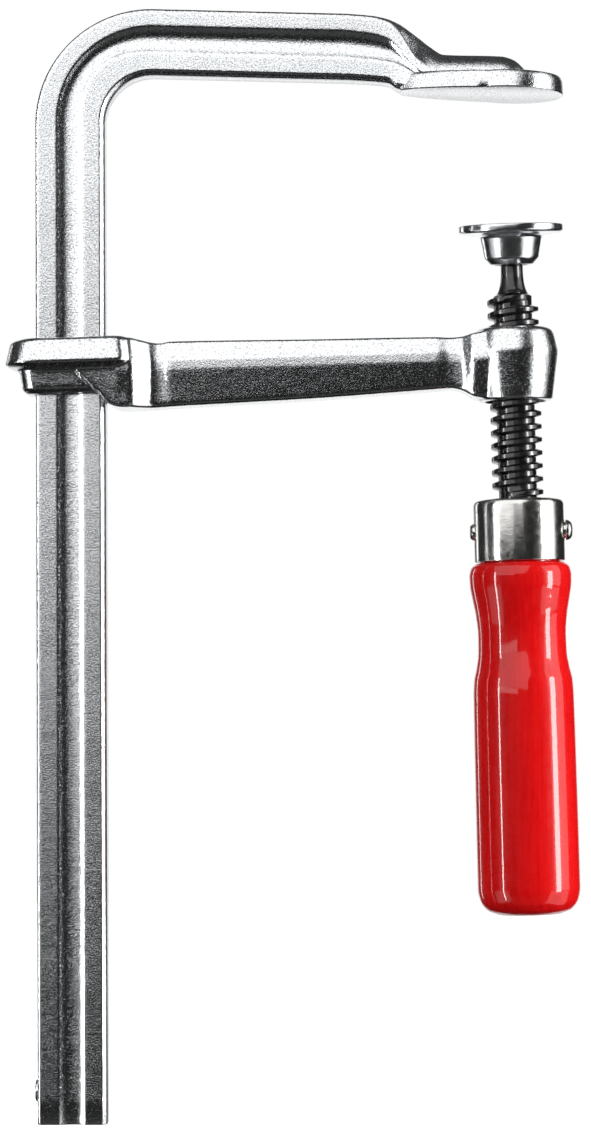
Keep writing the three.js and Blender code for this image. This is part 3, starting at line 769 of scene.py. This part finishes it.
class Finish:
    """A material and the few node kinds that its pattern is made of. Scales are per metre."""

    def __init__(self, name):
        self.material = bpy.data.materials.new(name)
        self.material.use_nodes = True
        self.nodes = self.material.node_tree.nodes
        self.links = self.material.node_tree.links
        self.shader = self.nodes["Principled BSDF"]
        self.place = self.nodes.new("ShaderNodeTexCoord").outputs["Object"]

    def set(self, **values):
        for name, value in values.items():
            self.shader.inputs[name.replace("_", " ")].default_value = value

    def stretched(self, x, y, z):
        mapping = self.nodes.new("ShaderNodeMapping")
        mapping.inputs["Scale"].default_value = (x, y, z)
        self.links.new(self.place, mapping.inputs["Vector"])
        return mapping.outputs["Vector"]

    def noise(self, scale, detail=2.0, where=None):
        texture = self.nodes.new("ShaderNodeTexNoise")
        texture.inputs["Scale"].default_value = scale
        texture.inputs["Detail"].default_value = detail
        self.links.new(where or self.place, texture.inputs["Vector"])
        return texture.outputs["Fac"]

    def ramp(self, factor, *stops):
        node = self.nodes.new("ShaderNodeValToRGB")
        elements = node.color_ramp.elements
        while len(elements) < len(stops):
            elements.new(0.5)
        for element, (at, colour) in zip(elements, stops):
            element.position = at
            element.color = (*colour, 1) if isinstance(colour, tuple) else (colour, colour, colour, 1)
        self.links.new(factor, node.inputs["Fac"])
        return node.outputs["Color"]

    def spread(self, factor, low, high):
        """The factor's middle range, mapped to low..high."""
        node = self.nodes.new("ShaderNodeMapRange")
        for name, value in (("From Min", 0.3), ("From Max", 0.7), ("To Min", low), ("To Max", high)):
            node.inputs[name].default_value = value
        self.links.new(factor, node.inputs["Value"])
        return node.outputs["Result"]

    def mix(self, factor, a, b, blend="MIX"):
        node = self.nodes.new("ShaderNodeMix")
        node.data_type = "RGBA"
        node.blend_type = blend
        for socket, value in (("Factor", factor), ("A", a), ("B", b)):
            target = next(s for s in node.inputs if s.name == socket and s.enabled)
            if isinstance(value, bpy.types.NodeSocket):
                self.links.new(value, target)
            else:
                target.default_value = value
        return next(s for s in node.outputs if s.enabled)

    def bump(self, *layers):
        """Stacks (height, distance in metres) layers and gives the shader their normal."""
        normal = None
        for height, distance in layers:
            node = self.nodes.new("ShaderNodeBump")
            node.inputs["Strength"].default_value = 1.0
            node.inputs["Distance"].default_value = distance
            self.links.new(height, node.inputs["Height"])
            if normal is not None:
                self.links.new(normal, node.inputs["Normal"])
            normal = node.outputs["Normal"]
        self.links.new(normal, self.shader.inputs["Normal"])

    def colour(self, socket):
        self.links.new(socket, self.shader.inputs["Base Color"])

    def roughness(self, socket):
        self.links.new(socket, self.shader.inputs["Roughness"])


def zinc_steel():
    """Zinc-plated forging: a fine sparkling grain over soft hammered waves."""
    finish = Finish("zinc_plated_forging")
    finish.set(Metallic=1.0)
    grain = finish.noise(2300, 3)
    clouds = finish.noise(70, 4)
    tone = finish.ramp(clouds, (0.3, (0.80, 0.82, 0.84)), (0.7, (0.86, 0.88, 0.90)))
    speckle = finish.ramp(finish.noise(1900, 2), (0.36, 0.55), (0.5, 1.0))
    finish.colour(finish.mix(1.0, tone, speckle, "MULTIPLY"))
    finish.roughness(finish.ramp(grain, (0.5, 0.13), (0.7, 0.28)))
    finish.bump(
        (finish.noise(60, 2), 0.0001),
        (finish.noise(420, 2), 0.00003),
        (grain, 0.00006),
        (finish.noise(5500, 2), 0.00002),
    )
    return finish.material


def polished_zinc():
    """Turned and plated: brighter than the forgings, with a finer grain."""
    finish = Finish("zinc_plated_turning")
    finish.set(Metallic=1.0)
    clouds = finish.noise(120, 3)
    finish.colour(finish.ramp(clouds, (0.3, (0.74, 0.76, 0.78)), (0.7, (0.86, 0.88, 0.90))))
    finish.roughness(finish.spread(finish.noise(600, 3), 0.14, 0.24))
    finish.bump(
        (finish.noise(160, 2), 0.00006),
        (finish.noise(2300, 2), 0.00002),
        (finish.noise(5500, 2), 0.000012),
    )
    return finish.material


def black_steel():
    """Burnished and oiled: nearly black, with a sheen that varies along the thread."""
    finish = Finish("burnished_steel")
    finish.set(Metallic=0.85, Coat_Weight=0.7, Coat_Roughness=0.12, Coat_IOR=1.6)
    wear = finish.noise(350, 4)
    finish.colour(finish.ramp(wear, (0.35, (0.012, 0.012, 0.013)), (0.75, (0.06, 0.06, 0.063))))
    finish.roughness(finish.spread(finish.noise(250, 3), 0.2, 0.42))
    finish.bump((finish.noise(500, 2), 0.00003), (finish.noise(1800, 2), 0.000008))
    return finish.material


def satin_nickel():
    """Drawn cap: satin, with fine lines running round it."""
    finish = Finish("satin_nickel")
    finish.set(Metallic=1.0)
    lines = finish.noise(60, 3, finish.stretched(1, 1, 30))
    clouds = finish.noise(150, 3)
    finish.colour(finish.ramp(clouds, (0.3, (0.58, 0.57, 0.55)), (0.7, (0.72, 0.71, 0.69))))
    finish.roughness(finish.spread(finish.noise(700, 2), 0.14, 0.22))
    finish.bump((lines, 0.000003), (finish.noise(220, 2), 0.00003), (finish.noise(2300, 2), 0.000025))
    return finish.material


def spring_steel():
    finish = Finish("drawn_wire")
    finish.set(Metallic=1.0)
    streaks = finish.noise(900, 2)
    finish.colour(finish.ramp(streaks, (0.3, (0.30, 0.31, 0.33)), (0.7, (0.40, 0.41, 0.43))))
    finish.roughness(finish.spread(streaks, 0.25, 0.4))
    finish.bump((streaks, 0.00001))
    return finish.material


def red_lacquer():
    """Turned beech under thick red lacquer: faint grain along it, and a coat with slow waves."""
    finish = Finish("red_lacquered_wood")
    finish.set(Coat_Weight=0.8, Coat_Roughness=0.04, Coat_IOR=1.5, Specular_IOR_Level=0.1)
    fibres = finish.noise(900, 3, finish.stretched(1, 1, 0.06))
    finish.colour(finish.ramp(fibres, (0.3, (0.54, 0.003, 0.004)), (0.7, (0.66, 0.006, 0.006))))
    finish.roughness(finish.spread(finish.noise(300, 2), 0.22, 0.34))
    waves = finish.noise(70, 5, finish.stretched(1, 1, 0.4))
    finish.bump((waves, 0.00022), (fibres, 0.00002))
    return finish.material


# ------------------------------------------------------------------ the clamp

def add(piece, node, body, material):
    piece.data.materials.clear()
    piece.data.materials.append(material)
    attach(piece, body)
    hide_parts(node)


def build_clamp():
    zinc = zinc_steel()
    nickel = satin_nickel()
    add(rail(), "rail", "frame", zinc)
    add(end_stop_stud(), "end_stop_stud", "frame", zinc)
    add(sliding_arm(), "sliding_arm", "arm", zinc)
    add(retaining_ring(), "retaining_ring", "ring", spring_steel())
    add(spindle(), "spindle", "screw", black_steel())
    add(ferrule(), "ferrule", "screw", nickel)
    add(cross_pin(), "cross_pin", "screw", nickel)
    add(handle(), "handle", "screw", red_lacquer())
    add(pressure_plate(), "pressure_plate", "plate", polished_zinc())


# ------------------------------------------------------------------ studio

FLOOR_DROP = 0.2  # below the rail's end, so that the lowered arm's handle clears the floor
FLOOR_RADIUS = 6
CENTRE = (Vector(cad_low) + Vector(cad_high)) / 2
LIGHT_DISTANCE = 6


def floor():
    height = cad_low[2] - FLOOR_DROP
    steps = 96
    edge = []
    for i in range(steps):
        angle = 2 * math.pi * i / steps
        edge.append((FLOOR_RADIUS * math.cos(angle), FLOOR_RADIUS * math.sin(angle), height))
    mesh = bpy.data.meshes.new("floor")
    mesh.from_pydata(edge, [], [tuple(range(steps))])
    ground = bpy.data.objects.new("floor", mesh)
    bpy.context.scene.collection.objects.link(ground)
    ground.visible_glossy = False
    ground.visible_diffuse = False
    ground.visible_shadow = False
    finish = Finish("pale_floor")
    finish.set(Roughness=0.9, Emission_Color=(1, 1, 1, 1), Emission_Strength=0.95)
    finish.colour(finish.ramp(finish.noise(4, 2), (0.3, 0.90), (0.7, 0.93)))
    mesh.materials.append(finish.material)


def softbox(name, azimuth, elevation, wide, high, radiance, mirrored=True):
    """A far rectangular light, its place and size in degrees as seen from the clamp.

    Azimuth 0 is the front and 90 the right. What isn't mirrored only lights the colours.
    """
    around, up = math.radians(azimuth), math.radians(elevation)
    way = Vector((math.sin(around) * math.cos(up), -math.cos(around) * math.cos(up), math.sin(up)))
    light = bpy.data.lights.new(name, "AREA")
    light.shape = "RECTANGLE"
    light.size = 2 * LIGHT_DISTANCE * math.tan(math.radians(wide) / 2)
    light.size_y = 2 * LIGHT_DISTANCE * math.tan(math.radians(high) / 2)
    light.energy = radiance * math.pi * light.size * light.size_y
    lamp = bpy.data.objects.new(name, light)
    lamp.location = CENTRE + way * LIGHT_DISTANCE
    lamp.rotation_euler = way.to_track_quat("Z", "Y").to_euler()
    lamp.visible_camera = False
    lamp.visible_glossy = mirrored
    bpy.context.scene.collection.objects.link(lamp)


def studio_world():
    """White behind the clamp. To the metal the room is nearly black, a little less so overhead."""
    world = bpy.data.worlds.new("studio")
    bpy.context.scene.world = world
    world.use_nodes = True
    nodes, links = world.node_tree.nodes, world.node_tree.links
    nodes.clear()
    direction = nodes.new("ShaderNodeTexCoord").outputs["Generated"]
    split = nodes.new("ShaderNodeSeparateXYZ")
    links.new(direction, split.inputs[0])
    height = nodes.new("ShaderNodeMapRange")
    height.inputs["From Min"].default_value = -1
    links.new(split.outputs["Z"], height.inputs["Value"])
    ramp = nodes.new("ShaderNodeValToRGB")
    ramp.color_ramp.elements.new(0.5)
    for element, (at, grey) in zip(ramp.color_ramp.elements, ((0.3, 0.01), (0.5, 0.015), (0.85, 0.06))):
        element.position = at
        element.color = (grey, grey, grey, 1)
    links.new(height.outputs["Result"], ramp.inputs["Fac"])
    mirrored = nodes.new("ShaderNodeBackground")
    links.new(ramp.outputs["Color"], mirrored.inputs["Color"])
    seen = nodes.new("ShaderNodeBackground")
    seen.inputs["Color"].default_value = (1, 1, 1, 1)
    choose = nodes.new("ShaderNodeMixShader")
    links.new(nodes.new("ShaderNodeLightPath").outputs["Is Camera Ray"], choose.inputs["Fac"])
    links.new(mirrored.outputs[0], choose.inputs[1])
    links.new(seen.outputs[0], choose.inputs[2])
    links.new(choose.outputs[0], nodes.new("ShaderNodeOutputWorld").inputs["Surface"])


def studio_lights():
    """Each one's azimuth, elevation, width, height and radiance."""
    softbox("front_panel", -25, 35, 74, 57.5, 1.4)
    softbox("low_front_panel", 0, -44, 80, 34, 0.05)
    softbox("left_panel", -38, 4.3, 48, 3.6, 2.1)
    softbox("right_panel", 80, 18, 44, 50, 1.6)
    softbox("right_low_panel", 75, -28, 50, 36, 1.3)
    softbox("left_low_panel", -66, -22, 36, 26, 0.8)
    softbox("backdrop", 180, 0, 44, 72, 1.05)
    softbox("right_strip", 70, 2, 13, 30, 15)
    softbox("left_strip", -60, -8, 3, 46, 22)
    softbox("left_rim", -137, 2, 3, 34, 6)
    softbox("fill", 75, 15, 45, 50, 3.2, mirrored=False)


def camera():
    """In front of the clamp, turned a little to the left and up."""
    eye = Vector((-20.75, -1157.9, -194.8)) * MM
    yaw = math.radians(2.282)
    pitch = math.radians(2.464)
    roll = math.radians(0.307)
    data = bpy.data.cameras.new("camera")
    data.sensor_width = 36
    data.lens = 120.03
    data.clip_start = 0.05
    data.clip_end = 50
    view = bpy.data.objects.new("camera", data)
    turn = Matrix.Rotation(yaw, 4, "Z") @ Matrix.Rotation(math.pi / 2 + pitch, 4, "X")
    view.matrix_world = Matrix.Translation(eye) @ turn @ Matrix.Rotation(-roll, 4, "Z")
    bpy.context.scene.collection.objects.link(view)
    bpy.context.scene.camera = view


camera()
build_clamp()
floor()
studio_world()
studio_lights()
bpy.context.scene.view_settings.view_transform = "Standard"
bpy.context.view_layer.update()
